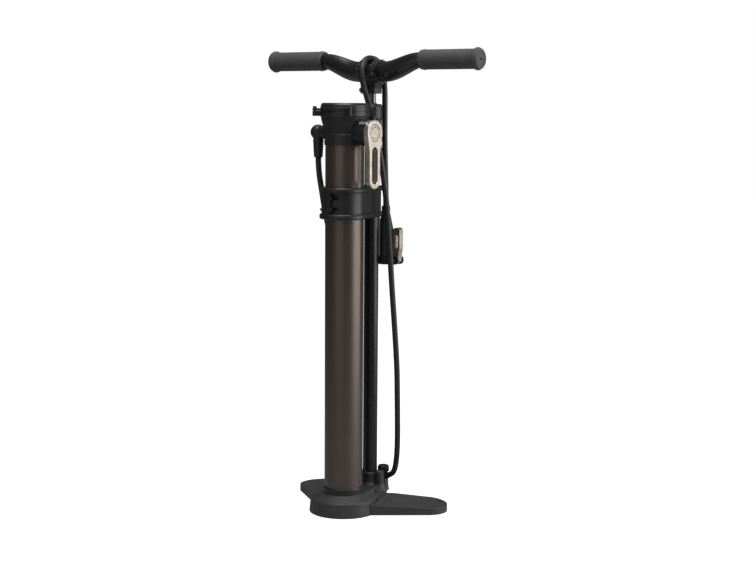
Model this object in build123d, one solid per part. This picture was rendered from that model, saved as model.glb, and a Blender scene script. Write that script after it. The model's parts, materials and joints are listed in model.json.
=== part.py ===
from build123d import *
from math import atan2, cos, degrees, radians, sin, sqrt, tan
import os

# Floor bike pump with an auxiliary air chamber. All sizes are in millimetres.
# Frame: +Z is up, the handlebar runs along X, and the air chamber stands in front, towards -Y.
# Origin: on the floor, on the common axis of the pump barrel and its rod.

os.makedirs("parts", exist_ok=True)

# ---- driving dimensions ----
# air chamber
CHAMBER_Y = -72.0
CHAMBER_R = 30.0
CHAMBER_WALL = 2.0
CHAMBER_BOTTOM_Z = 36.0
CHAMBER_TOP_Z = 584.0
SKIRT_Z = 574.0
# barrel and rod
BARREL_R = 11.5
BARREL_BORE_R = 10.0
BARREL_BOTTOM_Z = 30.0
BARREL_TOP_Z = 622.0
ROD_R = 6.0
ROD_BOTTOM_Z = 62.0
ROD_TOP_Z = 669.0
CAP_R = 16.2
CAP_BOTTOM_Z = 590.0
CAP_TOP_Z = 637.0
# base
FLOOR_GAP = 1.0
RING_R = 53.4
RING_SHOULDER_R = 51.7
RING_SHOULDER_Z = 23.0
RING_TOP_R = 34.5
RING_TOP_Z = 31.5
FOOT_ROOT_Z = 18.0
FOOT_TIP_Z = 11.5
FOOT_TIP_R = 31.5
FOOT_TIP_X = 107.0
FOOT_TIP_Y = 6.0
COLLAR_R = 14.4
COLLAR_TOP_Z = 50.5
BOSS_X = 18.6
BOSS_R = 7.1
BOSS_TOP_Z = 53.0
UNION_X = 14.6
UNION_Y = 17.0
LINK_PORT_X = -24.0
LINK_PORT_Y = -6.0
PORT_R = 8.4
PORT_TOP_Z = 37.0
NUT_Z = 48.6
NUT_TOP_Z = 59.0
AIRWAY_R = 2.2
AIRWAY_Z = 20.6
# gauge head
GAUGE_R = 38.0
GAUGE_FLANGE_Z = 618.0
GAUGE_JOINT_Z = 626.0
GAUGE_TOP_Z = 638.0
LUG_RADIUS = 46.5
LUG_R = 3.6
NECK_R = 31.6
NECK_Z = 591.0
# release valve and lever
VALVE_Z = 593.0
VALVE_BOSS_R = 20.0
VALVE_BOSS_X = 47.8
LEVER_FACE_X = 57.2
LEVER_HUB_R = 19.5
LEVER_THICKNESS = 9.0
LEVER_HALF_WIDTH = 13.8
LEVER_END_Z = 508.0
LEVER_SLOT_HALF_WIDTH = 7.0
# bracket
BRACKET_Z0 = 461.0
BRACKET_Z1 = 509.5
BRACKET_FLANGE = 8.0
BRACKET_CHAMFER = 1.6
BRACKET_SPLIT_X = -7.5
# handle
BAR_Z = 687.0
BAR_RISE = 17.5
BAR_CENTRE_R = 15.9
BAR_END_R = 11.1
BAR_STRAIGHT_X = 25.0
BAR_BEND_END_X = 94.0
HANDLE_HALF = 198.0
GRIP_INNER_X = 92.0
GRIP_R = 15.2
GRIP_FLANGE_R = 17.2
CLAMP_HALF_WIDTH = 18.0
CLAMP_R = 18.8
CLAMP_WINDOW = 7.5
STEM_BOTTOM_Z = 653.0
PINCH_X = -14.6
PINCH_Z = 658.5
# docked pump head
HEAD_X = 11.0
HEAD_Y = 24.0
HEAD_R = 12.4
HEAD_BOTTOM_Z = 384.0
HEAD_TOP_Z = 463.0
HEAD_NUT_Z = 477.0
HEAD_PIVOT_X = 33.5
HEAD_PIVOT_Z = 391.5
# hoses
HOSE_R = 4.5
RUNNING_GAP = 0.05
BODY_GAP = 0.4

# Free outlet hose: from the base union up the right side, forward between the gauge and the
# barrel cap, over the handlebar clamp, and down behind it into the docked pump head.
OUTLET_ROUTE = [
    (23.6, 18.2, 42.6), (30.0, 18.8, 45.45), (34.9, 19.1, 50.4), (38.4, 18.7, 58.4),
    (40.3, 17.9, 71.3), (42.4, 16.0, 88.6), (44.9, 12.6, 110.0), (47.4, 8.2, 140.0),
    (50.0, 3.2, 180.0), (51.6, -0.6, 224.0), (50.0, -5.4, 286.0), (46.0, -8.2, 350.0),
    (42.0, -9.8, 416.0), (38.6, -13.2, 480.0), (33.9, -18.0, 532.0), (28.4, -22.7, 575.0),
    (21.8, -26.7, 611.0),
    (14.4, -31.6, 641.0), (8.8, -36.2, 664.0), (4.8, -38.0, 686.0), (1.2, -31.0, 705.0),
    (-1.6, -15.0, 716.5), (-2.4, 3.0, 717.5), (-1.2, 20.0, 710.0), (0.6, 31.0, 693.0),
    (2.0, 34.4, 668.0), (3.0, 32.4, 630.0), (5.0, 28.4, 584.0), (8.2, 25.2, 540.0),
    (10.4, 24.1, 506.0), (11.0, 24.0, HEAD_NUT_Z + 0.2),
]

# Link hose between the chamber head and the base, held at both ends.
LINK_ROUTE = [
    (-51.0, -72.0, 554.0), (-50.6, -71.8, 534.0), (-46.6, -70.2, 508.0), (-43.4, -67.2, 480.0),
    (-41.0, -61.0, 450.0), (-37.0, -50.0, 412.0), (-32.0, -40.0, 360.0), (-29.0, -32.0, 296.0),
    (-27.4, -25.0, 224.0), (-26.4, -17.0, 152.0), (-24.5, -8.6, 104.0), (-24.0, -6.0, 66.5),
]


# ---- shape helpers ----
def cyl(radius, z0, z1, x=0.0, y=0.0):
    """Upright cylinder between two heights."""
    return Pos(x, y, (z0 + z1) / 2) * Cylinder(radius, z1 - z0)


def tube(r_out, r_in, z0, z1, x=0.0, y=0.0):
    """Upright hollow cylinder."""
    return cyl(r_out, z0, z1, x, y) - cyl(r_in, z0 - 1, z1 + 1, x, y)


def cyl_x(radius, x0, x1, y, z):
    """Cylinder along X."""
    return Pos((x0 + x1) / 2, y, z) * Rot(0, 90, 0) * Cylinder(radius, x1 - x0)


def cyl_y(radius, y0, y1, x, z):
    """Cylinder along Y."""
    return Pos(x, (y0 + y1) / 2, z) * Rot(90, 0, 0) * Cylinder(radius, y1 - y0)


def block(x0, x1, y0, y1, z0, z1):
    """Box between two corners."""
    return Pos((x0 + x1) / 2, (y0 + y1) / 2, (z0 + z1) / 2) * Box(x1 - x0, y1 - y0, z1 - z0)


def turned(profile, x=0.0, y=0.0):
    """Solid of revolution about an upright axis from (radius, height) points."""
    face = make_face(Polyline([(r, 0, z) for r, z in profile], close=True))
    return Pos(x, y, 0) * revolve(face, Axis.Z)


def turned_x(profile, y, z):
    """Solid of revolution about an axis along X from (x, radius) points."""
    face = make_face(Polyline([(a, 0, r) for a, r in profile], close=True))
    return Pos(0, y, z) * revolve(face, Axis.X)


def two_circle_hull(y1, r1, y2, r2):
    """Flat outline round two circles on the Y axis, with the tangents between them."""
    lean = (r1 - r2) / abs(y2 - y1)
    side = sqrt(1 - lean * lean)
    corners = [
        (r1 * side, y1 + r1 * lean), (r2 * side, y2 + r2 * lean),
        (-r2 * side, y2 + r2 * lean), (-r1 * side, y1 + r1 * lean),
    ]
    middle = make_face(Polyline(corners, close=True))
    return middle + Pos(0, y1) * Circle(r1) + Pos(0, y2) * Circle(r2)


def plate(outline, z0, z1, taper=0.0):
    """Flat outline extruded between two heights."""
    return Pos(0, 0, z0) * extrude(outline, amount=z1 - z0, taper=taper)


def knurled(radius, depth, count, z0, z1, x=0.0, y=0.0):
    """Upright cylinder with round flutes cut along its rim."""
    body = cyl(radius, z0, z1, x, y)
    for i in range(count):
        a = radians(360 * i / count)
        body -= cyl(depth, z0 - 1, z1 + 1, x + radius * cos(a), y + radius * sin(a))
    return body


def hex_socket(width, depth):
    """Hexagonal drive recess, opening upwards at the origin."""
    return Pos(0, 0, -depth) * extrude(RegularPolygon(width / 2, 6, major_radius=False), amount=depth + 1)


def socket_screw(head_r, head_h, shank_r, length):
    """Socket screw pointing down, with the underside of its head at the origin."""
    head = Pos(0, 0, head_h / 2) * Cylinder(head_r, head_h)
    head = chamfer(head.edges().filter_by(GeomType.CIRCLE).group_by(Axis.Z)[-1], head_h * 0.18)
    shank = Pos(0, 0, -length / 2) * Cylinder(shank_r, length)
    return head + shank - Pos(0, 0, head_h) * hex_socket(head_r * 1.0, head_h * 0.6)


def rounded_path(route):
    """Straight runs joined by tangent arcs, each as large as its two runs allow."""
    points = [Vector(*p) for p in route]
    radii = []
    for a, b, c in zip(points, points[1:], points[2:]):
        shorter = min((b - a).length, (c - b).length)
        half_turn = radians((b - a).get_angle(c - b) / 2)
        radii.append(0.45 * shorter / tan(half_turn))
    return FilletPolyline(*points, radius=radii), radii


def hose(name, route):
    """Round hose along a route, with its length, volume and tightest arc printed."""
    path, radii = rounded_path(route)
    solid = sweep(Plane(path @ 0, z_dir=path % 0) * Circle(HOSE_R), path=path.wire())
    ideal = 3.14159265 * HOSE_R ** 2 * path.length
    print(f"{name}: length {path.length:.1f}, volume ratio {solid.volume / ideal:.4f}")
    print("  arc radii", " ".join(f"{r:.0f}" for r in radii))
    return solid


def save(name, *pieces):
    """Write one node, keeping its pieces as separate solids."""
    solids = [s for piece in pieces for s in piece.solids()]
    shape = solids[0] if len(solids) == 1 else Compound(children=solids)
    export_step(shape, f"parts/{name}.step")


# ---- base ----
SCREW_SPOTS = [(-24.0, -18.0), (24.0, -18.0), (0.0, 17.0)]


def make_base():
    collar_flare = turned([
        (0, FOOT_ROOT_Z), (25, FOOT_ROOT_Z), (23.5, 23), (18, 29), (COLLAR_R - 0.4, 34),
        (COLLAR_R - 0.8, COLLAR_TOP_Z - 7.2), (COLLAR_R, COLLAR_TOP_Z - 6.6),
        (COLLAR_R, COLLAR_TOP_Z - 1.2), (COLLAR_R - 1.2, COLLAR_TOP_Z), (0, COLLAR_TOP_Z),
    ])
    ring = turned([
        (0, FLOOR_GAP), (RING_R, FLOOR_GAP), (RING_R, 2.2), (RING_SHOULDER_R, RING_SHOULDER_Z - 1.0),
        (RING_SHOULDER_R - 0.9, RING_SHOULDER_Z), (RING_TOP_R, RING_TOP_Z), (0, RING_TOP_Z),
    ], y=CHAMBER_Y)
    shoulder = plate(two_circle_hull(CHAMBER_Y, 50.0, 0.0, 25.0), FOOT_ROOT_Z, RING_SHOULDER_Z)
    web = plate(two_circle_hull(CHAMBER_Y, 40.0, 0.0, 19.0), FOOT_ROOT_Z, RING_TOP_Z - 1.5, taper=12)
    valve_boss = turned([(0, FOOT_ROOT_Z), (12.6, FOOT_ROOT_Z), (12.4, 23.4), (8.6, 28.6), (BOSS_R, 32.0),
                         (BOSS_R, BOSS_TOP_Z - 1.6), (BOSS_R - 1.6, BOSS_TOP_Z), (0, BOSS_TOP_Z)], x=BOSS_X)
    valve_boss += block(8.0, BOSS_X, -5.6, 5.6, FOOT_ROOT_Z, COLLAR_TOP_Z - 2.0)
    outlet_post = turned([(0, FOOT_ROOT_Z), (9.6, FOOT_ROOT_Z), (PORT_R, 26), (PORT_R - 0.4, PORT_TOP_Z),
                          (0, PORT_TOP_Z)], x=UNION_X, y=UNION_Y)
    link_post = turned([(0, FOOT_ROOT_Z), (10.0, FOOT_ROOT_Z), (8.0, 26), (7.6, PORT_TOP_Z),
                        (0, PORT_TOP_Z)], x=LINK_PORT_X, y=LINK_PORT_Y)
    housing = collar_flare + ring + shoulder + web + valve_boss + outlet_post + link_post
    # seat of the chamber's foot cap, and the bolt hole below it
    housing -= cyl(32.4, 24.0, 60.0, y=CHAMBER_Y)
    housing -= cyl(4.3, 0.0, 30.0, y=CHAMBER_Y)
    housing -= cyl(8.2, 0.0, 14.0, y=CHAMBER_Y)
    # hollow underside, leaving the rim, a bolt post and ribs
    hollow = tube(45.0, 15.0, 0.0, 19.0, y=CHAMBER_Y)
    for i in range(6):
        rib = Pos(0, CHAMBER_Y, 10) * Rot(0, 0, 60 * i) * Pos(30, 0, 0) * Box(44, 3.0, 24)
        hollow -= rib
    housing -= hollow
    # groove for the rubber ring under the rim
    housing -= tube(52.0, 47.5, 0.0, 2.6, y=CHAMBER_Y)
    # barrel seat, room for the outlet union, valve chamber and airways
    housing -= cyl(9.8, PORT_TOP_Z, 60.0, UNION_X, UNION_Y)
    housing -= cyl(BARREL_R, BARREL_BOTTOM_Z, 60.0)
    housing -= cyl(7.0, 25.0, 31.0)
    housing -= cyl(5.2, FOOT_ROOT_Z - 1, 26.0)
    housing -= cyl_x(AIRWAY_R, LINK_PORT_X, UNION_X, 0.0, AIRWAY_Z)
    housing -= block(UNION_X - 2.0, UNION_X + 2.0, 0.0, UNION_Y, AIRWAY_Z - 2, AIRWAY_Z + 2)
    housing -= cyl(AIRWAY_R, AIRWAY_Z - 2, PORT_TOP_Z + 1, UNION_X, UNION_Y)
    housing -= cyl(AIRWAY_R, AIRWAY_Z - 2, PORT_TOP_Z + 1, LINK_PORT_X, LINK_PORT_Y)
    housing -= block(LINK_PORT_X - 2.0, LINK_PORT_X + 2.0, LINK_PORT_Y, 0.0, AIRWAY_Z - 2, AIRWAY_Z + 2)
    for x, y in SCREW_SPOTS:
        housing -= cyl(2.0, 0.0, 26.0, x, y)
    save("base_housing", housing)

    front_dir = (0.598, -0.801)
    back_dir = (-0.585, 0.811)
    outline = Pos(0, 0) * Circle(27.0)
    for side in (1, -1):
        tip = [
            (FOOT_TIP_X + FOOT_TIP_R * front_dir[0], FOOT_TIP_Y + FOOT_TIP_R * front_dir[1]),
            (FOOT_TIP_X + FOOT_TIP_R * back_dir[0], FOOT_TIP_Y + FOOT_TIP_R * back_dir[1]),
        ]
        wing = [(0.0, -84.0), (44.0, -81.0), tip[0], tip[1], (27.0, 0.0), (0.0, 0.0)]
        outline += make_face(Polyline([(side * x, y) for x, y in wing], close=True))
        outline += Pos(side * FOOT_TIP_X, FOOT_TIP_Y) * Circle(FOOT_TIP_R)
    outline -= Pos(0, CHAMBER_Y) * Circle(RING_R + 0.1)
    roof = [(0, 0), (150, 0), (150, FOOT_TIP_Z - 1.2), (FOOT_TIP_X + 20, FOOT_TIP_Z), (44, FOOT_ROOT_Z),
            (-44, FOOT_ROOT_Z), (-FOOT_TIP_X - 20, FOOT_TIP_Z), (-150, FOOT_TIP_Z - 1.2), (-150, 0)]
    wedge = extrude(Plane.XZ * make_face(Polyline(roof, close=True)), amount=120, both=True)
    foot = plate(outline, FLOOR_GAP, 30.0) & wedge
    for side in (1, -1):
        # shallow tread recess in each wing, following its sloping top
        tread = make_face(Polyline([(side * x, y) for x, y in
                                    [(58, -57), (116, -14), (94, 24), (40, -9)]], close=True))
        tread = tread + Pos(side * FOOT_TIP_X, FOOT_TIP_Y) * Circle(FOOT_TIP_R - 8)
        foot -= plate(tread, FLOOR_GAP + 5, 30.0) - Pos(0, 0, -0.6) * wedge
        # pocket for the rubber pad
        foot -= cyl(14.2, 0.0, 2.6, side * FOOT_TIP_X, FOOT_TIP_Y)
    foot -= cyl(12.2, 0.0, 2.6)
    for x, y in SCREW_SPOTS:
        foot -= cyl(2.6, 0.0, 30.0, x, y)
        foot -= cyl(4.8, 0.0, 8.0, x, y)
    foot -= cyl(5.2, 12.2, 30.0)
    save("foot_plate", foot)

    pads = [cyl(14.0, 0.0, 2.6, side * FOOT_TIP_X, FOOT_TIP_Y) for side in (1, -1)]
    rim_pad = tube(51.8, 47.7, 0.0, 2.6, y=CHAMBER_Y)
    save("rubber_feet", cyl(12.0, 0.0, 2.6), rim_pad, *pads)
    screws = [Pos(x, y, 8.0) * Rot(180, 0, 0) * socket_screw(4.3, 3.6, 2.0, 17.5) for x, y in SCREW_SPOTS]
    save("base_screws", *screws)
    save("chamber_bolt", Pos(0, CHAMBER_Y, 14.0) * Rot(180, 0, 0) * socket_screw(7.0, 7.0, 4.0, 20.0))


# ---- check valve under the barrel ----
def make_check_valve():
    seat = turned([(3.0, 26.2), (7.0, 26.2), (7.0, 29.6), (4.0, 29.6)])
    save("valve_seat", seat)
    poppet = cyl(4.4, 23.6, 26.0) + cyl(1.9, 18.6, 23.6)
    save("valve_poppet", poppet)
    turns = Helix(pitch=2.2, height=10.1, radius=3.3)
    wire = sweep(Plane(turns @ 0, z_dir=turns % 0) * Circle(0.5), path=turns)
    save("valve_spring", Pos(0, 0, 12.9) * wire)


# ---- air chamber ----
def make_chamber():
    inner = CHAMBER_R - CHAMBER_WALL
    save("chamber_tube", tube(CHAMBER_R, inner, CHAMBER_BOTTOM_Z, CHAMBER_TOP_Z, y=CHAMBER_Y))
    foot_cap = turned([
        (0, 24.2), (32.2, 24.2), (32.2, 39.5), (31.2, 41.0), (CHAMBER_R, 41.0),
        (CHAMBER_R, CHAMBER_BOTTOM_Z), (inner, CHAMBER_BOTTOM_Z), (inner, 44.0),
        (inner - 2.4, 44.0), (inner - 2.4, 47.0), (inner, 47.0), (inner, 51.0), (20.0, 51.0), (20.0, 38.0),
        (0, 38.0),
    ], y=CHAMBER_Y)
    foot_cap -= cyl(4.0, 20.0, 34.0, y=CHAMBER_Y)
    save("chamber_foot_cap", foot_cap)
    save("chamber_foot_seal", tube(inner, inner - 2.4, 44.0, 47.0, y=CHAMBER_Y))
    save("chamber_head_seal", tube(inner, inner - 2.4, 565.0, 568.0, y=CHAMBER_Y))

    head = turned([
        (6.0, 560.0), (inner, 560.0), (inner, 565.0), (inner - 2.4, 565.0), (inner - 2.4, 568.0),
        (inner, 568.0), (inner, CHAMBER_TOP_Z), (CHAMBER_R, CHAMBER_TOP_Z), (CHAMBER_R, SKIRT_Z), (NECK_R, SKIRT_Z),
        (NECK_R, NECK_Z - 1.2), (NECK_R - 1.0, NECK_Z), (32.8, 601.0), (36.0, 611.0),
        (GAUGE_R - 1.0, GAUGE_FLANGE_Z - 1.2), (GAUGE_R, GAUGE_FLANGE_Z), (GAUGE_R, GAUGE_JOINT_Z - 1.6),
        (GAUGE_R - 1.1, GAUGE_JOINT_Z - 1.2), (GAUGE_R - 1.1, GAUGE_JOINT_Z), (35.0, GAUGE_JOINT_Z),
        (31.5, GAUGE_JOINT_Z - 3),
        (31.5, 609.0), (6.0, 609.0),
    ], y=CHAMBER_Y)
    boss = turned_x([(20.0, 0.0), (20.0, VALVE_BOSS_R - 1.5), (VALVE_BOSS_X - 5.0, VALVE_BOSS_R),
                     (VALVE_BOSS_X, VALVE_BOSS_R), (VALVE_BOSS_X, 0.0)], CHAMBER_Y, VALVE_Z)
    elbow_pad = turned_x([(-20.0, 0.0), (-20.0, 12.6), (-34.5, 11.0), (-34.5, 0.0)], CHAMBER_Y, VALVE_Z)
    for i in range(4):
        a = radians(45 + 90 * i)
        x, y = LUG_RADIUS * cos(a), CHAMBER_Y + LUG_RADIUS * sin(a)
        arm = Pos(0, CHAMBER_Y, (GAUGE_FLANGE_Z + GAUGE_JOINT_Z) / 2) * Rot(0, 0, 45 + 90 * i)
        head += arm * Pos(41.5, 0, 0) * Box(10.0, 2 * LUG_R, GAUGE_JOINT_Z - GAUGE_FLANGE_Z)
        head += cyl(LUG_R, GAUGE_FLANGE_Z, GAUGE_JOINT_Z, x, y)
    head += boss + elbow_pad
    head -= tube(CHAMBER_R, inner, 550.0, CHAMBER_TOP_Z, y=CHAMBER_Y)
    # gauge well, chamber airway, valve bore and elbow bore
    head -= cyl(31.5, 609.0, 640.0, y=CHAMBER_Y)
    head -= cyl(6.0, 550.0, 609.0, y=CHAMBER_Y)
    head -= cyl_x(7.0, 4.0, VALVE_BOSS_X + 1, CHAMBER_Y, VALVE_Z)
    head -= cyl_x(3.0, -40.0, 0.0, CHAMBER_Y, VALVE_Z)
    for i in range(4):
        a = radians(45 + 90 * i)
        head -= cyl(1.6, 610.0, 640.0, LUG_RADIUS * cos(a), CHAMBER_Y + LUG_RADIUS * sin(a))
    save("chamber_head", head)


# ---- gauge ----
def make_gauge():
    bezel = turned([
        (35.0, GAUGE_JOINT_Z), (GAUGE_R, GAUGE_JOINT_Z), (GAUGE_R, 631.0), (GAUGE_R - 0.8, 631.6),
        (GAUGE_R - 0.8, 634.6), (GAUGE_R - 3.2, GAUGE_TOP_Z), (32.0, GAUGE_TOP_Z), (31.0, 635.2),
        (31.0, 634.0), (34.0, 634.0), (34.0, 627.5), (35.0, 627.5),
    ], y=CHAMBER_Y)
    screws = []
    for i in range(4):
        a = radians(45 + 90 * i)
        x, y = LUG_RADIUS * cos(a), CHAMBER_Y + LUG_RADIUS * sin(a)
        arm = Pos(0, CHAMBER_Y, 628.0) * Rot(0, 0, 45 + 90 * i) * Pos(41.5, 0, 0)
        lug = arm * Box(10.0, 2 * LUG_R, 3.6) + cyl(LUG_R, 626.2, 629.8, x, y)
        bezel += lug - cyl(1.8, 620.0, 640.0, x, y)
        screws.append(Pos(x, y, 629.8) * socket_screw(3.0, 3.2, 1.6, 10.5))
    save("gauge_bezel", bezel - cyl(34.0, 620.0, 634.0, y=CHAMBER_Y))
    save("gauge_bezel_screws", *screws)
    lens = turned([(0, 631.6), (33.8, 631.6), (33.8, 633.9), (30.6, 633.9), (30.0, 635.0), (0, 636.2)],
                  y=CHAMBER_Y)
    save("gauge_lens", lens)
    save("gauge_dial", tube(33.8, 1.4, 626.2, 627.2, y=CHAMBER_Y))
    # brass connector and Bourdon tube under the dial
    tube_path = Plane(origin=(0, CHAMBER_Y, 618.0)) * CenterArc((0, 0), 22.0, -60, 270)
    section = Plane(tube_path @ 0, z_dir=tube_path % 0) * Ellipse(1.6, 3.2)
    save("bourdon_tube", sweep(section, path=tube_path))
    stem = cyl(5.9, 600.0, 609.4, y=CHAMBER_Y) + cyl(9.0, 609.4, 612.4, y=CHAMBER_Y)
    stem += block(-9, 9, CHAMBER_Y - 8, CHAMBER_Y + 8, 612.4, 616.0)
    plates = block(-10, 10, CHAMBER_Y - 9, CHAMBER_Y + 9, 622.0, 623.4)
    posts = [cyl(1.5, 616.0, 622.0, sx * 7, CHAMBER_Y + sy * 6) for sx in (1, -1) for sy in (1, -1)]
    movement = stem + plates + posts
    movement -= cyl(1.5, 590.0, 612.0, y=CHAMBER_Y) + cyl(1.25, 612.0, 630.0, y=CHAMBER_Y)
    save("gauge_movement", movement)
    needle = make_face(Polyline([(1.6, -9.0), (0.45, 25.0), (-0.45, 25.0), (-1.6, -9.0)], close=True))
    needle = Rot(0, 0, 135) * (needle + Circle(3.6))
    pointer = Pos(0, CHAMBER_Y, 629.0) * extrude(needle, amount=0.8) + cyl(1.2, 616.5, 629.0, y=CHAMBER_Y)
    pointer += cyl(2.2, 629.8, 630.8, y=CHAMBER_Y)
    save("gauge_pointer", pointer)


# ---- release valve and its lever ----
def make_release_valve():
    lever_back = LEVER_FACE_X - LEVER_THICKNESS
    spindle = cyl_x(6.95, 6.0, lever_back, CHAMBER_Y, VALVE_Z)
    spindle -= cyl(3.0, VALVE_Z - 10, VALVE_Z + 10, 10.0, CHAMBER_Y)
    for x in (18.0, 36.0):
        spindle -= cyl_x(8.0, x, x + 2.6, CHAMBER_Y, VALVE_Z) - cyl_x(5.2, x, x + 2.6, CHAMBER_Y, VALVE_Z)
    rings = [cyl_x(6.95, x, x + 2.6, CHAMBER_Y, VALVE_Z) - cyl_x(5.2, x, x + 2.6, CHAMBER_Y, VALVE_Z)
             for x in (18.0, 36.0)]
    spindle -= cyl_x(1.9, lever_back - 11, lever_back, CHAMBER_Y, VALVE_Z)
    save("release_spindle", spindle)
    save("release_spindle_seals", *rings)

    arm_end = LEVER_END_Z + LEVER_HALF_WIDTH
    profile = Pos(0, 0) * Circle(LEVER_HUB_R)
    profile += make_face(Polyline([(-LEVER_HUB_R + 1.2, -8.0), (LEVER_HUB_R - 1.2, -8.0),
                                   (LEVER_HALF_WIDTH, -30.0), (-LEVER_HALF_WIDTH, -30.0)], close=True))
    profile += Pos(0, (arm_end - VALVE_Z - 22) / 2) * Rectangle(2 * LEVER_HALF_WIDTH, VALVE_Z - arm_end - 22)
    profile += Pos(0, arm_end - VALVE_Z) * Circle(LEVER_HALF_WIDTH)
    slot_top, slot_bottom = -22.0, -77.0
    slot_r = LEVER_SLOT_HALF_WIDTH
    slot = RectangleRounded(2 * slot_r, slot_top - slot_bottom, slot_r - 0.5)
    slot = Pos(0, (slot_top + slot_bottom) / 2) * slot
    face = Plane(origin=(lever_back, CHAMBER_Y, VALVE_Z), x_dir=(0, 1, 0), z_dir=(1, 0, 0))
    lever = extrude(face * (profile - slot), amount=LEVER_THICKNESS)
    lever = fillet(lever.edges().group_by(Axis.X)[-1], 1.2)
    lever = fillet(lever.edges().group_by(Axis.X)[0], 1.0)
    lever -= cyl_x(13.2, LEVER_FACE_X - 1.6, LEVER_FACE_X + 1, CHAMBER_Y, VALVE_Z)
    lever -= cyl_x(2.1, lever_back - 1, LEVER_FACE_X + 1, CHAMBER_Y, VALVE_Z)
    lever -= cyl_x(3.9, LEVER_FACE_X - 5.2, LEVER_FACE_X + 1, CHAMBER_Y, VALVE_Z)
    # stop tab over the top of the valve boss
    tab = Pos(0, CHAMBER_Y, VALVE_Z) * Rot(48, 0, 0) * block(38.5, lever_back + 4, -2.4, 2.4, 17.5, 22.6)
    tab -= cyl_x(VALVE_BOSS_R + BODY_GAP, 30.0, lever_back, CHAMBER_Y, VALVE_Z)
    lever += tab - cyl_x(16.0, lever_back - 1, LEVER_FACE_X, CHAMBER_Y, VALVE_Z)
    save("release_lever", lever)
    screw = Pos(LEVER_FACE_X - 5.0, CHAMBER_Y, VALVE_Z) * Rot(0, 90, 0) * socket_screw(3.6, 2.8, 1.9, 14.0)
    save("release_lever_screw", screw)
    save("release_lever_disc", cyl_x(13.1, LEVER_FACE_X - 1.5, LEVER_FACE_X - 0.3, CHAMBER_Y, VALVE_Z))


# ---- link hose fittings ----
def make_link_line():
    elbow_x = LINK_ROUTE[0][0]
    ball = Pos(elbow_x - 0.6, CHAMBER_Y, VALVE_Z) * Sphere(11.8)
    neck = cyl_x(10.4, elbow_x, -34.5, CHAMBER_Y, VALVE_Z)
    down = cyl(8.0, 580.5, VALVE_Z, elbow_x, CHAMBER_Y) + cyl(2.6, 562.0, 582.0, elbow_x, CHAMBER_Y)
    elbow = ball + neck + down
    elbow -= cyl_x(2.0, elbow_x, -30.0, CHAMBER_Y, VALVE_Z) + cyl(1.4, 560.0, VALVE_Z, elbow_x, CHAMBER_Y)
    save("inlet_elbow", elbow)
    ferrule = turned([(2.6, 580.5), (8.3, 580.5), (8.3, 577.0), (7.9, 576.4), (7.6, 568.0), (6.9, 556.0),
                      (6.2, 554.0), (2.6, 554.0)], x=elbow_x, y=CHAMBER_Y)
    save("inlet_ferrule", ferrule - cyl(HOSE_R, 550.0, 554.2, elbow_x, CHAMBER_Y))
    save("link_hose", hose("link_hose", LINK_ROUTE))
    x, y = LINK_PORT_X, LINK_PORT_Y
    port = turned([(1.4, 30.0), (2.2, 30.0), (2.2, PORT_TOP_Z), (7.4, PORT_TOP_Z), (7.4, 43.0), (2.6, 43.0),
                   (2.6, 60.0), (1.4, 60.0)], x=x, y=y)
    save("link_port", port)
    lower = turned([(2.6, 43.0), (7.4, 43.0), (7.6, 50.0), (6.9, 63.5), (6.2, 66.0), (2.6, 66.0)], x=x, y=y)
    save("link_ferrule", lower - cyl(2.6, 40.0, 70.0, x, y))


# ---- pump barrel, rod and piston ----
def make_barrel():
    save("barrel_tube", tube(BARREL_R, BARREL_BORE_R, BARREL_BOTTOM_Z, BARREL_TOP_Z))
    cap = turned([
        (BARREL_R, CAP_BOTTOM_Z), (14.6, CAP_BOTTOM_Z), (15.2, CAP_BOTTOM_Z + 1.5), (15.2, 612.0),
        (CAP_R, 615.0), (CAP_R, 633.0), (14.0, CAP_TOP_Z), (8.5, CAP_TOP_Z), (8.5, 630.5), (10.0, 630.5),
        (10.0, BARREL_TOP_Z), (BARREL_R, BARREL_TOP_Z),
    ])
    for i in range(12):
        a = radians(30 * i + 15)
        cap -= cyl(2.4, 594.0, 610.0, (15.2 + 1.5) * cos(a), (15.2 + 1.5) * sin(a))
    save("barrel_cap", cap)
    save("rod_bush", tube(10.0, ROD_R + RUNNING_GAP, 610.0, 630.5))
    save("rod_wiper", turned([(ROD_R + RUNNING_GAP, 630.5), (8.5, 630.5), (8.5, 636.0), (7.0, 638.4),
                              (ROD_R + RUNNING_GAP, 638.4)]))
    save("piston_rod", tube(ROD_R, ROD_R - 1.5, ROD_BOTTOM_Z + 6, ROD_TOP_Z) + cyl(ROD_R - 1.5, 70.0, 92.0)
         + cyl(3.0, ROD_BOTTOM_Z, 70.0))
    piston = turned([
        (3.0, 50.0), (8.8, 50.0), (9.92, 51.0), (9.92, 54.0), (8.0, 54.0), (8.0, 57.2), (9.92, 57.2),
        (9.92, 64.0), (8.0, 68.0), (3.0, 68.0),
    ])
    save("piston", piston - cyl(3.0, ROD_BOTTOM_Z, 70.0) + cyl(3.0, 50.0, ROD_BOTTOM_Z))
    save("piston_seal", tube(9.95, 8.0, 54.0, 57.2))
    save("top_out_bumper", tube(9.4, ROD_R, 80.0, 92.0))


# ---- handle ----
def bar_height(x):
    """Centre height of the handlebar at a distance from its middle."""
    t = min(max((abs(x) - BAR_STRAIGHT_X) / (BAR_BEND_END_X - BAR_STRAIGHT_X), 0.0), 1.0)
    return BAR_Z + BAR_RISE * t * t * (3 - 2 * t)


def bar_radius(x):
    """Radius of the handlebar, which tapers along its bends."""
    t = min(max((abs(x) - BAR_STRAIGHT_X) / (BAR_BEND_END_X - BAR_STRAIGHT_X), 0.0), 1.0)
    return BAR_CENTRE_R - (BAR_CENTRE_R - BAR_END_R) * t ** 1.9


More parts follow.
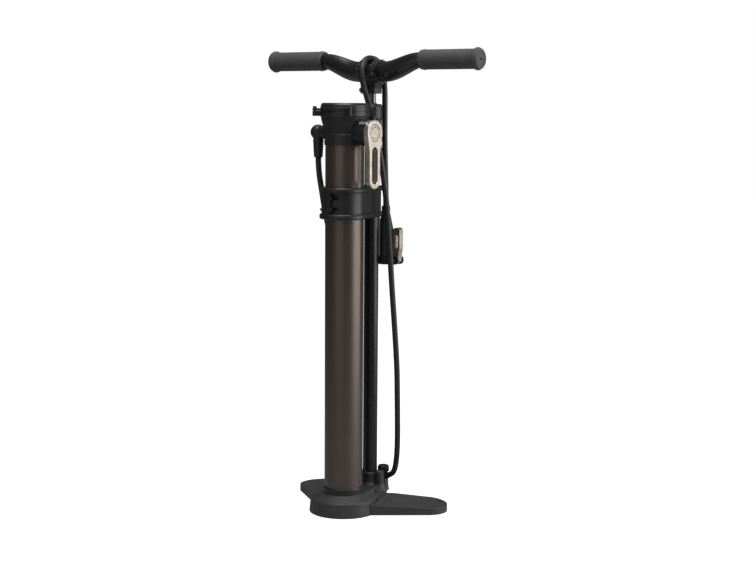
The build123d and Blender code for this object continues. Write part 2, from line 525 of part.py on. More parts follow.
def make_handle():
    bar = cyl_x(BAR_CENTRE_R, -BAR_STRAIGHT_X, BAR_STRAIGHT_X, 0.0, BAR_Z)
    step = (BAR_BEND_END_X - BAR_STRAIGHT_X) / 8
    for side in (1, -1):
        sections = []
        for i in range(9):
            x = BAR_STRAIGHT_X + step * i
            slope = (bar_height(x + 0.5) - bar_height(x - 0.5)) if 0 < i < 8 else 0.0
            spot = Plane(origin=(side * x, 0, bar_height(x)), x_dir=(0, 1, 0), z_dir=(side, 0, slope))
            sections.append(spot * Circle(bar_radius(x)))
        bar += loft(sections)
        grip_end = side * (HANDLE_HALF - 4.0)
        bar += cyl_x(BAR_END_R, *sorted((side * BAR_BEND_END_X, grip_end)), 0.0, BAR_Z + BAR_RISE)
        hollow = cyl_x(BAR_END_R - 1.8, *sorted((side * (BAR_BEND_END_X + 4), side * HANDLE_HALF)),
                       0.0, BAR_Z + BAR_RISE)
        bar -= hollow
    save("handlebar", bar)

    plugs = []
    for name, side in (("grip_right", 1), ("grip_left", -1)):
        outer = [
            (GRIP_INNER_X, 11.9), (GRIP_INNER_X, 13.6), (GRIP_INNER_X + 1.2, 15.0),
            (GRIP_INNER_X + 7.0, 15.9), (GRIP_INNER_X + 8.6, 15.4), (GRIP_INNER_X + 10.0, GRIP_R), (188.0, GRIP_R), (190.0, 16.6),
            (191.2, GRIP_FLANGE_R), (193.6, GRIP_FLANGE_R), (195.0, 16.2), (HANDLE_HALF - 1.2, 15.6),
            (HANDLE_HALF, 14.4), (HANDLE_HALF, 10.0), (HANDLE_HALF - 4.0, 10.0),
            (HANDLE_HALF - 4.0, BAR_END_R), (BAR_BEND_END_X, BAR_END_R), (BAR_BEND_END_X, 11.9),
        ]
        grip = turned_x([(side * x, r) for x, r in outer], 0.0, BAR_Z + BAR_RISE)
        save(name, grip)
        plug = turned_x([(side * (HANDLE_HALF - 16), 0), (side * (HANDLE_HALF - 16), BAR_END_R - 1.8),
                         (side * (HANDLE_HALF - 4), BAR_END_R - 1.8), (side * (HANDLE_HALF - 4), 10.0),
                         (side * (HANDLE_HALF - 0.6), 10.0), (side * (HANDLE_HALF - 0.2), 9.0),
                         (side * (HANDLE_HALF - 0.2), 2.0), (side * (HANDLE_HALF - 3), 2.0),
                         (side * (HANDLE_HALF - 3), 0)], 0.0, BAR_Z + BAR_RISE)
        plugs.append(plug)
    save("bar_end_plugs", *plugs)


EAR_SPOTS = [(sx * 12.6, sy * 22.4) for sx in (1, -1) for sy in (1, -1)]


def clamp_shell(z0, z1):
    """The part of the round bar clamp, with its bolt ears, between two heights."""
    shell = cyl_x(CLAMP_R, -CLAMP_HALF_WIDTH, CLAMP_HALF_WIDTH, 0.0, BAR_Z)
    for x, y in EAR_SPOTS:
        shell += block(x - 5.2, x + 5.2, min(y, 0.0), max(y, 0.0), BAR_Z - 6.5, BAR_Z + 6.5)
        shell += cyl(5.2, BAR_Z - 6.5, BAR_Z + 6.5, x, y)
    shell &= block(-40, 40, -40, 40, z0, z1)
    return shell - cyl_x(BAR_CENTRE_R, -30, 30, 0.0, BAR_Z)


def make_stem():
    lower = clamp_shell(BAR_Z - 30, BAR_Z - 0.8)
    section = RectangleRounded(24.4, 22.0, 4.0)
    neck_bottom = Plane.XY.offset(STEM_BOTTOM_Z + 8) * section
    neck_top = Plane.XY.offset(BAR_Z - 12) * RectangleRounded(34.0, 26.0, 6.0)
    neck = loft([neck_bottom, neck_top]) + Pos(0, 0, STEM_BOTTOM_Z) * extrude(section, 8)
    neck += block(PINCH_X, -9.0, -11.0, 4.0, STEM_BOTTOM_Z, STEM_BOTTOM_Z + 19)
    neck -= cyl_x(BAR_CENTRE_R, -30, 30, 0.0, BAR_Z)
    stem = lower + neck
    stem -= cyl(ROD_R, STEM_BOTTOM_Z - 1, ROD_TOP_Z)
    # slit and bolt hole of the rod pinch
    stem -= block(-1.0, 1.0, -20.0, -ROD_R + 1, STEM_BOTTOM_Z - 1, 666.0)
    stem -= cyl_x(2.0, -16.0, 10.0, -8.2, PINCH_Z)
    for x, y in EAR_SPOTS:
        stem -= cyl(2.0, BAR_Z - 12, BAR_Z + 12, x, y)
    save("stem_body", stem)
    cap = clamp_shell(BAR_Z + 0.8, BAR_Z + 30)
    # open window in the middle of the cap, where the hose is laid over the bar
    cap -= block(-CLAMP_WINDOW, CLAMP_WINDOW, -40, 40, BAR_Z - 2, BAR_Z + 30)
    bridge = cyl_x(CLAMP_R, -CLAMP_WINDOW, CLAMP_WINDOW, 0.0, BAR_Z)
    bridge -= cyl_x(BAR_CENTRE_R, -30, 30, 0.0, BAR_Z)
    cap += bridge & block(-10, 10, -30, 30, BAR_Z + 0.8, BAR_Z + 8.0)
    for x, y in EAR_SPOTS:
        cap -= cyl(2.2, BAR_Z - 12, BAR_Z + 12, x, y)
    save("stem_cap", cap)
    bolts = [Pos(x, y, BAR_Z + 6.5) * socket_screw(4.0, 4.0, 2.0, 12.0) for x, y in EAR_SPOTS]
    save("clamp_bolts", *bolts)
    pinch = Pos(PINCH_X, -8.2, PINCH_Z) * Rot(0, -90, 0) * socket_screw(3.6, 3.0, 2.0, 22.0)
    save("stem_pinch_bolt", pinch)


# ---- bracket between chamber and barrel ----
def make_bracket():
    mid = plate(two_circle_hull(CHAMBER_Y - 1.8, 32.4, 0.0, 15.0), BRACKET_Z0, BRACKET_Z1)
    rim = two_circle_hull(CHAMBER_Y - 4.0, 36.4, 0.0, 17.4)
    bottom_rim = plate(rim, BRACKET_Z0, BRACKET_Z0 + BRACKET_FLANGE)
    top_rim = plate(rim, BRACKET_Z1 - BRACKET_FLANGE, BRACKET_Z1)
    for level in (0, -1):
        bottom_rim = chamfer(bottom_rim.edges().group_by(Axis.Z)[level], BRACKET_CHAMFER)
        top_rim = chamfer(top_rim.edges().group_by(Axis.Z)[level], BRACKET_CHAMFER)
    front_y = CHAMBER_Y - 39.4
    lump = block(BRACKET_SPLIT_X - 7.5, BRACKET_SPLIT_X + 7.0, front_y, CHAMBER_Y - 28,
                 BRACKET_Z0 + 4, BRACKET_Z1 - 4)
    body = mid + bottom_rim + top_rim + lump
    body -= cyl(CHAMBER_R, 400, 600, y=CHAMBER_Y) + cyl(BARREL_R, 400, 600)
    # light pocket between the two bores
    pocket = block(-9.0, 9.0, -36.0, -20.5, BRACKET_Z0 + 9, BRACKET_Z1 + 1)
    body -= pocket - block(-9.0, 9.0, -31.5, -24.5, 400, 600)
    front_screw_y = front_y + 4.2
    screws = []
    # front pair from the right side, rear pair from the left side
    pairs = [(front_screw_y, BRACKET_SPLIT_X + 7.0, 1, 19.0), (-28.0, -20.0, -1, 26.0)]
    for y, head_x, away, length in pairs:
        for z in (476.0, 494.5):
            body -= cyl_x(2.0, *sorted((head_x + away, head_x - away * (length + 1))), y, z)
            body -= cyl_x(4.2, *sorted((head_x, head_x + away * 40.0)), y, z)
            screws.append(Pos(head_x, y, z) * Rot(0, 90 * away, 0) * socket_screw(3.5, 3.0, 2.0, length))
    half_gap = 0.35
    save("bracket_right", body & block(BRACKET_SPLIT_X + half_gap, 80, -150, 60, 400, 600))
    save("bracket_left", body & block(-80, BRACKET_SPLIT_X - half_gap, -150, 60, 400, 600))
    save("bracket_screws", *screws)


# ---- outlet union and hose ----
def make_outlet():
    start = Vector(*OUTLET_ROUTE[0])
    away = (Vector(*OUTLET_ROUTE[1]) - start).normalized()
    stub_plane = Plane(origin=start - away * 4.3, z_dir=away)
    banjo = tube(6.8, 3.4, PORT_TOP_Z, NUT_Z, UNION_X, UNION_Y)
    banjo += stub_plane * Pos(0, 0, 1.9) * Cylinder(HOSE_R + 0.6, 4.2)
    banjo += stub_plane * Pos(0, 0, 6.5) * Cylinder(2.4, 13.0)
    banjo &= cyl(60.0, PORT_TOP_Z, NUT_Z)
    banjo -= stub_plane * Pos(0, 0, 4.0) * Cylinder(1.4, 26.0)
    banjo -= cyl(3.4, 30.0, 50.0, UNION_X, UNION_Y)
    save("outlet_banjo", banjo)
    nut = knurled(9.2, 0.9, 20, NUT_Z, NUT_TOP_Z, UNION_X, UNION_Y)
    nut = nut & turned([(0, 30), (9.2, 30), (9.2, NUT_TOP_Z - 3.0), (8.2, NUT_TOP_Z - 1.0), (6.0, NUT_TOP_Z),
                        (0, NUT_TOP_Z)], x=UNION_X, y=UNION_Y)
    nut += cyl(3.3, PORT_TOP_Z, NUT_Z, UNION_X, UNION_Y) + cyl(AIRWAY_R, 30.0, PORT_TOP_Z, UNION_X, UNION_Y)
    nut -= cyl(1.2, 29.0, 43.0, UNION_X, UNION_Y)
    save("outlet_cap_nut", nut)
    bore = stub_plane * Pos(0, 0, 6.5) * Cylinder(2.4, 13.4)
    save("outlet_hose", hose("outlet_hose", OUTLET_ROUTE) - bore)


# ---- pump head, docked behind the barrel ----
def make_pump_head():
    x, y = HEAD_X, HEAD_Y
    body = turned([
        (0, 398.0), (HEAD_R, 398.0), (HEAD_R, HEAD_TOP_Z - 23), (HEAD_R - 1.0, HEAD_TOP_Z - 19),
        (8.4, HEAD_TOP_Z - 5), (7.4, HEAD_TOP_Z),
        (0, HEAD_TOP_Z),
    ], x=x, y=y)
    clevis = Pos(0, y, 0) * (block(x, HEAD_PIVOT_X, -8.4, 8.4, HEAD_PIVOT_Z - 7.0, HEAD_PIVOT_Z + 7.0)
                             + cyl_y(7.0, -8.4, 8.4, HEAD_PIVOT_X, HEAD_PIVOT_Z))
    clevis += Pos(0, y, 0) * block(x, x + 15, -8.4, 8.4, HEAD_PIVOT_Z + 6.0, HEAD_PIVOT_Z + 12.0)
    body += clevis
    body -= cyl(HEAD_R + 0.8, 370.0, 398.0, x, y)
    # slot for the lever between the clevis cheeks
    body -= block(x + HEAD_R + 1.0, 60.0, y - 5.4, y + 5.4, 370.0, 430.0)
    body -= cyl_y(2.03, y - 9, y + 9, HEAD_PIVOT_X, HEAD_PIVOT_Z)
    # valve bore, plunger bore and hose airway
    body -= cyl(8.6, 390.0, 420.0, x, y) + cyl(3.0, 400.0, 470.0, x, y)
    save("head_body", body)
    cap = knurled(HEAD_R + 0.6, 0.8, 24, HEAD_BOTTOM_Z, 397.8, x, y)
    cap = cap & turned([(0, HEAD_BOTTOM_Z), (11.4, HEAD_BOTTOM_Z), (13.0, 386.6), (13.0, 397.8),
                        (0, 397.8)], x=x, y=y)
    cap += cyl(8.5, 396.0, 402.0, x, y)
    cap -= cyl(4.6, 380.0, 410.0, x, y) + cyl(7.6, 387.4, 410.0, x, y)
    cap -= block(x + HEAD_R - 0.2, 60.0, y - 9, y + 9, 370.0, 398.0)
    save("head_cap", cap)
    save("head_gland", tube(7.6, 4.2, 387.4, 399.6, x, y))
    plunger = tube(7.4, 4.2, 402.2, 410.0, x, y) + tube(7.4, 2.0, 410.0, 412.6, x, y)
    save("head_plunger", plunger)
    nut = knurled(6.8, 0.6, 16, HEAD_TOP_Z, HEAD_NUT_Z, x, y)
    nut = nut & turned([(0, HEAD_TOP_Z), (6.8, HEAD_TOP_Z), (6.8, HEAD_NUT_Z - 2.4), (5.8, HEAD_NUT_Z),
                        (0, HEAD_NUT_Z)], x=x, y=y)
    save("head_hose_nut", nut - cyl(3.0, 460.0, 490.0, x, y))

    px, pz = HEAD_PIVOT_X, HEAD_PIVOT_Z
    side = Plane(origin=(0, y - 5.2, 0), x_dir=(1, 0, 0), z_dir=(0, -1, 0))
    arm = [(px - 4.8, pz), (29.4, 408.0), (40.2, 408.0), (px + 5.0, pz)]
    profile = make_face(Polyline(arm, close=True)) + Pos(px, pz) * Circle(5.4)
    profile += Pos(34.8, 424.0) * RectangleRounded(12.4, 38.0, 5.6)
    profile -= Pos(34.8, 421.0) * RectangleRounded(6.4, 21.0, 2.8)
    lever = extrude(side * profile, amount=-10.4)
    lever -= cyl_y(2.0, y - 9, y + 9, px, pz)
    save("head_lever", lever)
    save("head_lever_pin", cyl_y(2.0, y - 8.4, y + 8.4, px, pz))

    # cradle for the pump head, which hangs down behind the barrel from the bracket
    reach = Rot(0, 0, degrees(atan2(y, x)))
    clip = tube(BARREL_R + 2.3, BARREL_R, 398.4, BRACKET_Z0)
    clip &= reach * block(0.0, 30.0, -7.0, 7.0, 390.0, 470.0)
    lips = tube(HEAD_R + 1.6, HEAD_R, 400.0, 424.0, x, y)
    clip += lips & (reach * block(11.6, 19.0, -13.0, 13.0, 390.0, 470.0))
    clip -= cyl(BARREL_R, 390.0, 470.0)
    save("head_dock", clip)


make_base()
make_check_valve()
make_chamber()
make_gauge()
make_release_valve()
make_link_line()
make_barrel()
make_handle()
make_stem()
make_bracket()
make_outlet()
make_pump_head()
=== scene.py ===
import json
from math import cos, pi, radians, sin

import bmesh
import bpy
from mathutils import Matrix, Vector


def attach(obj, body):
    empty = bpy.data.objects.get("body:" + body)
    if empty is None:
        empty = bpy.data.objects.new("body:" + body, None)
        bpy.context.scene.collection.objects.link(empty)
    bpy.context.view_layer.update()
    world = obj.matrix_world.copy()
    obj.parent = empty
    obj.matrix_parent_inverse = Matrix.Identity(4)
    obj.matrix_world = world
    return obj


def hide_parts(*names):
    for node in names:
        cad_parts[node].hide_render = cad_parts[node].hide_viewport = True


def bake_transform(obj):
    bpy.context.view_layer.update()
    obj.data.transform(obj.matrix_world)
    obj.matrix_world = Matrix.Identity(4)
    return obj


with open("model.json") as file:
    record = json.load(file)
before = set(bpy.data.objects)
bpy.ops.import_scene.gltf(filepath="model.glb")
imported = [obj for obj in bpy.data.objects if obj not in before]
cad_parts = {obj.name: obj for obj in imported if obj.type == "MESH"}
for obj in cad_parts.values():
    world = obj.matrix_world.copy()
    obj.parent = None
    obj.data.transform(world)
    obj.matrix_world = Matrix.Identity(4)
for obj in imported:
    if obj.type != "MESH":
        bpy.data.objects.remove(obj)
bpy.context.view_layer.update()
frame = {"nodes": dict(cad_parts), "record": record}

nodes = frame["nodes"]
MM = 0.001

# ---- camera ----
CAMERA_AZIMUTH = 34.99
CAMERA_PITCH = 6.619
CAMERA_ROLL = 0.3926
CAMERA_DISTANCE = 2.3616
CAMERA_HEIGHT = 0.6278
CAMERA_SIDESTEP = 0.0110
CAMERA_LENS = 71.24
CAMERA_SENSOR = 36.0


def make_camera():
    """Camera in front of the pump and to its right, near the height of the handlebar."""
    azimuth, pitch, roll = radians(CAMERA_AZIMUTH), radians(CAMERA_PITCH), radians(CAMERA_ROLL)
    forward = Vector((-sin(azimuth) * cos(pitch), cos(azimuth) * cos(pitch), -sin(pitch)))
    right = Vector((cos(azimuth), sin(azimuth), 0.0))
    up = right.cross(forward)
    tilted_right = right * cos(roll) + up * sin(roll)
    tilted_up = up * cos(roll) - right * sin(roll)
    place = Vector((sin(azimuth) * CAMERA_DISTANCE, -cos(azimuth) * CAMERA_DISTANCE, CAMERA_HEIGHT))
    place += right * CAMERA_SIDESTEP
    turn = Matrix((tilted_right, tilted_up, -forward)).transposed().to_4x4()
    data = bpy.data.cameras.new("camera")
    data.lens = CAMERA_LENS
    data.sensor_width = CAMERA_SENSOR
    camera = bpy.data.objects.new("camera", data)
    camera.matrix_world = Matrix.Translation(place) @ turn
    bpy.context.scene.collection.objects.link(camera)
    bpy.context.scene.camera = camera


make_camera()

# ---- hoses ----
HOSE_R = 4.5 * MM
HOSE_SIDES = 20
SPLINE_STEPS = 14

# Free outlet hose, in metres: from the union up the right side, over the handlebar clamp, and down
# to the pump head.
OUTLET_ROUTE = [
    (0.0236, 0.0182, 0.0426), (0.0298, 0.0188, 0.0453), (0.0342, 0.0190, 0.0508),
    (0.0372, 0.0186, 0.0592), (0.0396, 0.0178, 0.0720), (0.0420, 0.0160, 0.0890),
    (0.0447, 0.0126, 0.1100), (0.0473, 0.0082, 0.1400), (0.0500, 0.0032, 0.1800),
    (0.0516, -0.0006, 0.2240), (0.0500, -0.0054, 0.2860), (0.0460, -0.0082, 0.3500),
    (0.0420, -0.0098, 0.4160), (0.0386, -0.0132, 0.4800), (0.0339, -0.0180, 0.5320),
    (0.0284, -0.0227, 0.5750), (0.0218, -0.0267, 0.6110), (0.0146, -0.0316, 0.6410),
    (0.0090, -0.0362, 0.6640), (0.0058, -0.0382, 0.6860), (0.0030, -0.0290, 0.7010),
    (-0.0010, -0.0130, 0.7074), (-0.0026, 0.0015, 0.7082), (-0.0016, 0.0160, 0.7052),
    (0.0004, 0.0276, 0.6900), (0.0020, 0.0315, 0.6660), (0.0032, 0.0304, 0.6300),
    (0.0050, 0.0276, 0.5840), (0.0082, 0.0252, 0.5400), (0.0104, 0.0241, 0.5060),
    (0.0110, 0.0240, 0.4772),
]

# Link hose between the chamber head and the base.
LINK_ROUTE = [
    (-0.0510, -0.0720, 0.5540), (-0.0506, -0.0718, 0.5340), (-0.0466, -0.0702, 0.5080),
    (-0.0434, -0.0672, 0.4800), (-0.0410, -0.0610, 0.4500), (-0.0370, -0.0500, 0.4120),
    (-0.0320, -0.0400, 0.3600), (-0.0290, -0.0320, 0.2960), (-0.0274, -0.0250, 0.2240),
    (-0.0264, -0.0170, 0.1520), (-0.0245, -0.0086, 0.1040), (-0.0240, -0.0060, 0.0665),
]


def spline_points(route):
    """Points read from the smooth NURBS line that has the route as its control points."""
    data = bpy.data.curves.new("route_line", "CURVE")
    data.dimensions = "3D"
    data.resolution_u = SPLINE_STEPS
    spline = data.splines.new("NURBS")
    spline.points.add(len(route) - 1)
    for point, place in zip(spline.points, route):
        point.co = (*place, 1.0)
    spline.order_u = 3
    spline.use_endpoint_u = True
    line = bpy.data.objects.new("route_line", data)
    bpy.context.scene.collection.objects.link(line)
    mesh = bpy.data.meshes.new_from_object(line)
    points = [v.co.copy() for v in mesh.vertices]
    bpy.data.objects.remove(line)
    bpy.data.meshes.remove(mesh)
    return points


def path_frames(points):
    """Each point of a path with two steady side directions."""
    frames = []
    side = Vector((0.0, 1.0, 0.0))
    for i, point in enumerate(points):
        before, after = points[max(i - 1, 0)], points[min(i + 1, len(points) - 1)]
        tangent = (after - before).normalized()
        side = (side - tangent * side.dot(tangent)).normalized()
        frames.append((point, side, tangent.cross(side)))
    return frames


def tube_along(name, points, radius):
    """Closed mesh tube along a path."""
    mesh = bpy.data.meshes.new(name)
    bm = bmesh.new()
    turns = [2 * pi * k / HOSE_SIDES for k in range(HOSE_SIDES)]
    rings = []
    for point, u, v in path_frames(points):
        rings.append([bm.verts.new(point + (u * cos(turn) + v * sin(turn)) * radius) for turn in turns])
    for a, b in zip(rings, rings[1:]):
        for k in range(HOSE_SIDES):
            after = (k + 1) % HOSE_SIDES
            bm.faces.new((a[k], a[after], b[after], b[k]))
    bm.faces.new(list(reversed(rings[0])))
    bm.faces.new(rings[-1])
    bmesh.ops.recalc_face_normals(bm, faces=bm.faces)
    for face in bm.faces:
        face.smooth = len(face.verts) == 4
    bm.to_mesh(mesh)
    bm.free()
    obj = bpy.data.objects.new(name, mesh)
    bpy.context.scene.collection.objects.link(obj)
    return obj


outlet_path = spline_points(OUTLET_ROUTE)
outlet_hose = tube_along("outlet_hose_rubber", outlet_path, HOSE_R)
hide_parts("outlet_hose")
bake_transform(outlet_hose)

link_path = spline_points(LINK_ROUTE)
link_hose = tube_along("link_hose_rubber", link_path, HOSE_R)
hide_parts("link_hose")
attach(link_hose, "pump")


# ---- materials ----
NOISE_ROUGHNESS = 0.55
BEVEL_SAMPLES = 4
# how far the rounded normal has turned from the flat one, as a cosine, where the lighter edge, part wear
# and part painted highlight, is full and where it ends
EDGE_TURN = (0.80, 0.97)


class Shader:
    """A node material under construction, in object coordinates in metres."""

    def __init__(self, name, color, roughness, metallic=0.0, **extra):
        self.material = bpy.data.materials.new(name)
        self.material.use_nodes = True
        self.tree = self.material.node_tree
        self.shader = self.tree.nodes["Principled BSDF"]
        self.shader.inputs["Base Color"].default_value = (*color, 1.0)
        self.shader.inputs["Roughness"].default_value = roughness
        self.shader.inputs["Metallic"].default_value = metallic
        for socket, value in extra.items():
            self.shader.inputs[socket.replace("_", " ")].default_value = value
        self.coords = self.tree.nodes.new("ShaderNodeTexCoord")
        self.color = color
        self.roughness = roughness
        self.color_output = None
        self.normal = None

    def mapped(self, scale):
        """Object coordinates stretched by a factor on each axis."""
        mapping = self.tree.nodes.new("ShaderNodeMapping")
        mapping.inputs["Scale"].default_value = scale
        self.tree.links.new(self.coords.outputs["Object"], mapping.inputs["Vector"])
        return mapping.outputs["Vector"]

    def noise(self, scale, detail=4.0, stretch=(1, 1, 1)):
        node = self.tree.nodes.new("ShaderNodeTexNoise")
        node.inputs["Scale"].default_value = scale
        node.inputs["Detail"].default_value = detail
        node.inputs["Roughness"].default_value = NOISE_ROUGHNESS
        self.tree.links.new(self.mapped(stretch), node.inputs["Vector"])
        return node.outputs["Fac"]

    def voronoi(self, scale):
        node = self.tree.nodes.new("ShaderNodeTexVoronoi")
        node.inputs["Scale"].default_value = scale
        self.tree.links.new(self.mapped((1, 1, 1)), node.inputs["Vector"])
        return node.outputs["Distance"]

    def ramp(self, value, low, high, from_low=0.35, from_high=0.65):
        """Value remapped to a range of numbers. The defaults are the middle of a noise."""
        node = self.tree.nodes.new("ShaderNodeMapRange")
        node.inputs["From Min"].default_value = from_low
        node.inputs["From Max"].default_value = from_high
        node.inputs["To Min"].default_value = low
        node.inputs["To Max"].default_value = high
        self.tree.links.new(value, node.inputs["Value"])
        return node.outputs["Result"]

    def vary_roughness(self, value, spread):
        varied = self.ramp(value, self.roughness - spread, self.roughness + spread)
        self.tree.links.new(varied, self.shader.inputs["Roughness"])

    def shade(self, factor):
        """The base colour times a factor."""
        return (*[min(c * factor, 1.0) for c in self.color], 1.0)

    def mix_color(self, factor):
        """New mix of two colours that drives the base colour."""
        mix = self.tree.nodes.new("ShaderNodeMix")
        mix.data_type = "RGBA"
        self.tree.links.new(factor, mix.inputs["Factor"])
        self.tree.links.new(mix.outputs["Result"], self.shader.inputs["Base Color"])
        return mix

    def vary_color(self, value, low, high):
        """Colour mottled between two multiples of the base colour."""
        mix = self.mix_color(self.ramp(value, 0.0, 1.0))
        mix.inputs["A"].default_value = self.shade(low)
        mix.inputs["B"].default_value = self.shade(high)
        self.color_output = mix.outputs["Result"]

    def rounded(self, radius, brighten=1.0):
        """Sharp edges shaded as if rounded and, where asked, painted lighter along them: partly wear,
        partly a painted highlight.
        """
        bevel = self.tree.nodes.new("ShaderNodeBevel")
        bevel.samples = BEVEL_SAMPLES
        bevel.inputs["Radius"].default_value = radius
        self.normal = bevel.outputs["Normal"]
        self.tree.links.new(self.normal, self.shader.inputs["Normal"])
        if brighten == 1.0:
            return
        geometry = self.tree.nodes.new("ShaderNodeNewGeometry")
        dot = self.tree.nodes.new("ShaderNodeVectorMath")
        dot.operation = "DOT_PRODUCT"
        self.tree.links.new(bevel.outputs["Normal"], dot.inputs[0])
        self.tree.links.new(geometry.outputs["Normal"], dot.inputs[1])
        # edges painted lighter: partly wear, partly a painted highlight
        mix = self.mix_color(self.ramp(dot.outputs["Value"], 1.0, 0.0, *EDGE_TURN))
        self.tree.links.new(self.color_output, mix.inputs["A"])
        mix.inputs["B"].default_value = self.shade(brighten)

    def bump(self, value, height, strength):
        node = self.tree.nodes.new("ShaderNodeBump")
        node.inputs["Strength"].default_value = strength
        node.inputs["Distance"].default_value = height
        self.tree.links.new(value, node.inputs["Height"])
        if self.normal is not None:
            self.tree.links.new(self.normal, node.inputs["Normal"])
        self.normal = node.outputs["Normal"]
        self.tree.links.new(self.normal, self.shader.inputs["Normal"])


NICKEL = (0.60, 0.53, 0.46)
# dark colour painted into the disc's grooves as shade
NICKEL_GROOVE_SHADE = (0.10, 0.085, 0.075)
RELEASE_AXIS = (0.0, -0.072, 0.593)
RELEASE_DISC_R = 13.1 * MM


def anodised_tube():
    s = Shader("bronze_anodised", (0.142, 0.117, 0.102), 0.36, 0.85)
    s.vary_color(s.noise(9.0, 3.0, (1, 1, 0.3)), 0.95, 1.05)
    s.vary_roughness(s.noise(60.0, 5.0, (8, 8, 0.15)), 0.04)
    s.bump(s.noise(420.0, 4.0, (6, 6, 0.05)), 0.000006, 0.4)
    s.bump(s.noise(2600.0, 2.0), 0.000005, 0.5)
    return s.material


def grained(name, color, roughness, grain=1500.0, depth=0.00002, edge=0.0006):
    """Coated or moulded surface with a fine grain and lighter edges, partly wear and partly a painted
    highlight. Depth and edge are in metres.
    """
    s = Shader(name, color, roughness)
    s.vary_color(s.noise(30.0, 3.0), 0.88, 1.12)
    s.rounded(edge, 1.7)
    s.vary_roughness(s.noise(45.0, 4.0), 0.05)
    s.bump(s.noise(grain, 3.0), depth, 0.6)
    return s.material


def coated_base():
    s = Shader("base_black", (0.048, 0.048, 0.050), 0.46)
    s.vary_color(s.noise(22.0, 3.0), 0.88, 1.14)
    s.rounded(0.0012, 2.6)
    s.vary_roughness(s.noise(38.0, 4.0), 0.05)
    s.bump(s.noise(900.0, 4.0), 0.00003, 0.6)
    s.bump(s.voronoi(700.0), 0.00002, 0.4)
    return s.material


def rubber(name, color, roughness):
    s = Shader(name, color, roughness)
    s.vary_color(s.noise(40.0, 4.0), 0.88, 1.14)
    s.rounded(0.0004)
    s.vary_roughness(s.noise(90.0, 3.0), 0.05)
    s.bump(s.noise(1300.0, 4.0), 0.00003, 0.6)
    return s.material


def grip_rubber():
    s = Shader("grip_rubber", (0.078, 0.078, 0.081), 0.72)
    s.vary_color(s.noise(55.0, 4.0), 0.9, 1.1)
    s.rounded(0.0010, 1.3)
    s.vary_roughness(s.noise(150.0, 3.0), 0.05)
    s.bump(s.voronoi(1400.0), 0.00005, 0.6)
    s.bump(s.noise(2600.0, 2.0), 0.00002, 0.5)
    return s.material


def hose_rubber():
    s = Shader("hose_rubber", (0.016, 0.017, 0.020), 0.42)
    s.vary_color(s.noise(60.0, 3.0), 0.88, 1.16)
    s.vary_roughness(s.noise(120.0, 3.0), 0.05)
    s.bump(s.noise(1500.0, 3.0), 0.00002, 0.5)
    return s.material


def gloss_black():
    s = Shader("handlebar_black", (0.010, 0.010, 0.011), 0.26, 0.0, Coat_Weight=0.5, Coat_Roughness=0.14)
    s.vary_color(s.noise(25.0, 3.0), 0.9, 1.15)
    s.vary_roughness(s.noise(50.0, 3.0), 0.04)
    s.bump(s.noise(60.0, 2.0), 0.000004, 0.2)
    return s.material


def metal(name, color, roughness, stretch=(1, 1, 1)):
    s = Shader(name, color, roughness, 1.0)
    s.vary_color(s.noise(35.0, 3.0), 0.94, 1.05)
    s.rounded(0.0005, 1.1)
    s.vary_roughness(s.noise(70.0, 5.0, stretch), 0.05)
    s.bump(s.noise(500.0, 3.0, stretch), 0.000006, 0.5)
    return s.material


def cast_nickel():
    s = Shader("nickel", NICKEL, 0.34, 1.0)
    s.vary_color(s.noise(60.0, 4.0), 0.90, 1.08)
    s.rounded(0.0007, 1.15)
    s.vary_roughness(s.noise(120.0, 4.0), 0.06)
    s.bump(s.noise(650.0, 4.0), 0.00004, 0.6)
    return s.material


def groove_shaded_disc():
    """Satin disc with two turned rings round the axis of the release valve, their grooves painted in as
    dark rings of shade.
    """
    s = Shader("groove_shaded_disc", NICKEL, 0.30, 1.0)
    s.vary_roughness(s.noise(150.0, 4.0), 0.06)
    offset = s.tree.nodes.new("ShaderNodeVectorMath")
    offset.operation = "SUBTRACT"
    offset.inputs[1].default_value = RELEASE_AXIS
    s.tree.links.new(s.mapped((0, 1, 1)), offset.inputs[0])
    radius = s.tree.nodes.new("ShaderNodeVectorMath")
    radius.operation = "LENGTH"
    s.tree.links.new(offset.outputs["Vector"], radius.inputs[0])
    ramp = s.tree.nodes.new("ShaderNodeValToRGB")
    scaled = s.ramp(radius.outputs["Value"], 0.0, 1.0, 0.0, RELEASE_DISC_R)
    s.tree.links.new(scaled, ramp.inputs["Fac"])
    light, groove_shade = (*NICKEL, 1.0), (*NICKEL_GROOVE_SHADE, 1.0)
    # the ramp starts light at the centre and ends in painted groove shade at the rim
    ramp.color_ramp.elements[0].color = light
    ramp.color_ramp.elements[1].color = groove_shade
    # the dark stops are painted shade in the grooves of the two turned rings
    stops = [(0.62, light), (0.65, groove_shade), (0.70, groove_shade), (0.73, light), (0.90, light), (0.94, groove_shade)]
    for place, color in stops:
        ramp.color_ramp.elements.new(place).color = color
    s.tree.links.new(ramp.outputs["Color"], s.shader.inputs["Base Color"])
    s.bump(s.noise(900.0, 3.0), 0.00001, 0.5)
    return s.material


def plain_printed(name, color, roughness):
    s = Shader(name, color, roughness)
    s.vary_color(s.noise(120.0, 2.0), 0.97, 1.02)
    s.bump(s.noise(1800.0, 2.0), 0.00001, 0.5)
    return s.material


def clear_lens():
    s = Shader("lens", (0.97, 0.98, 0.98), 0.03, 0.0, Transmission_Weight=1.0, IOR=1.46)
    s.vary_roughness(s.noise(30.0, 2.0), 0.01)
    return s.material


